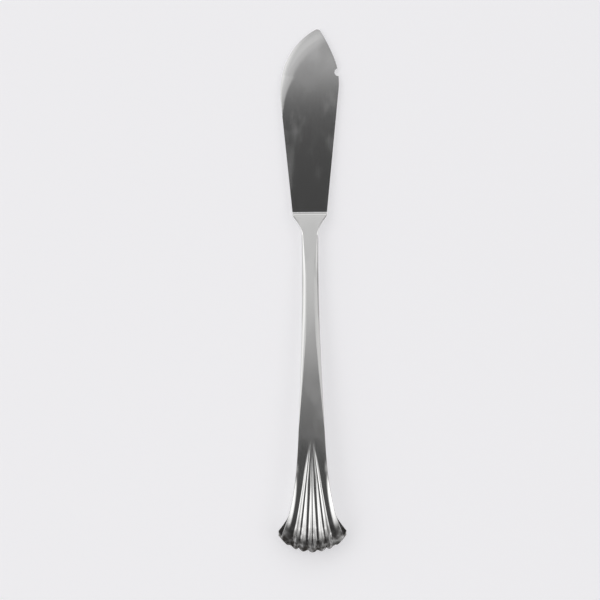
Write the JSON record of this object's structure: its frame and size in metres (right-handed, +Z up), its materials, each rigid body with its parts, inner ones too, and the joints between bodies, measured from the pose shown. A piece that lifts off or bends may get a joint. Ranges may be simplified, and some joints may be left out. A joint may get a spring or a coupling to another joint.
{
  "type": "butter knife",
  "caption": "Butter knife with a flat notched spreading blade, a flared bolster and a tapered hollow handle of two struck shells that ends in a fluted fan.",
  "frame": {"origin": "on the table, under the middle of the knife's length and width", "axes": "+Y along the knife towards the tip of the blade, +X to the spine's side, +Z up from the table"},
  "size_m": [0.0222, 0.17, 0.0091],
  "materials": {
    "blade_steel": "satin, with fine wipe marks along the blade",
    "handle_steel": "polished, with fine wear",
    "braze": "dressed flush and polished",
    "cement": "cast, hidden"
  },
  "bodies": {
    "root": {"blade": "blade_steel", "bolster": "handle_steel", "handle_front_shell": "handle_steel", "handle_back_shell": "handle_steel", "seam_braze": "braze", "tang_cement": "cement"}
  },
  "joints": []
}
